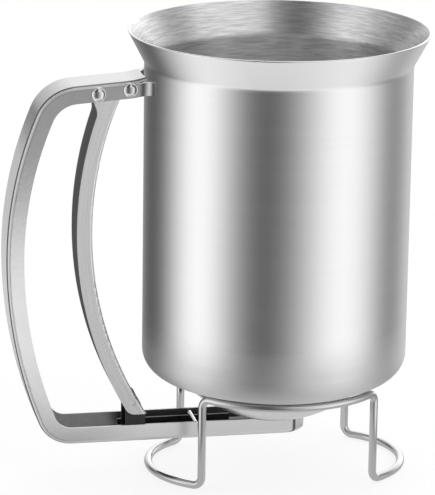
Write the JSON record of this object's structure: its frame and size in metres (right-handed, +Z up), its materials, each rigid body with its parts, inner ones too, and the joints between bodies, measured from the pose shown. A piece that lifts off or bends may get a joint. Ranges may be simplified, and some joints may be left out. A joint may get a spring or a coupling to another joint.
{
  "type": "batter dispenser",
  "caption": "Open flared steel cup with a funnel base and sliding gate, carried by a channel handle loop with an inner trigger lever, on a bent wire stand.",
  "frame": {"origin": "on the table, on the axis of the cup and its outlet; the loose wire stand is centred on it to about 1 mm", "axes": "+Z up along the cup's axis, the handle towards -X, +Y across the handle"},
  "size_m": [0.1591, 0.1122, 0.1693],
  "materials": {
    "cup_steel": "satin stainless steel, polished up and down outside and turned round inside",
    "handle_steel": "fine satin stainless steel, brushed along the channel",
    "lever_steel": "satin stainless steel, brushed along the lever",
    "gate_steel": "mill-finish stainless sheet",
    "rivet_steel": "polished",
    "spring_wire": "drawn spring wire",
    "stand_wire": "bright plated wire"
  },
  "bodies": {
    "stand": {"wire_stand": "stand_wire"},
    "dispenser": {"cup_shell": "cup_steel", "funnel_dish": "cup_steel", "handle_channel": "handle_steel", "pivot_rivet": "rivet_steel", "stop_rivet": "rivet_steel", "guide_pin": "rivet_steel", "return_spring": "spring_wire"},
    "trigger": {"trigger_lever": "lever_steel", "link_pin": "rivet_steel"},
    "gate": {"gate_plate": "gate_steel", "gate_yoke": "gate_steel"}
  },
  "joints": [
    {"name": "lift_off", "type": "slide", "parent": "stand", "child": "dispenser", "axis": [0, 0, 1], "range_m": [0, 0.03]},
    {"name": "trigger_swing", "type": "hinge", "parent": "dispenser", "child": "trigger", "pos_m": [-0.069, 0, 0.1486], "axis": [0, 1, 0], "range_deg": [0, 7], "stiffness_Nm_per_rad": 0.02, "springref_deg": -57.3, "deforming": ["return_spring"]},
    {"name": "gate_slide", "type": "slide", "parent": "dispenser", "child": "gate", "axis": [-1, 0, 0], "range_m": [0, 0.01468]}
  ],
  "couplings": [
    {"joint": "gate_slide", "follows": "trigger_swing", "m_per_rad": 0.12016}
  ]
}
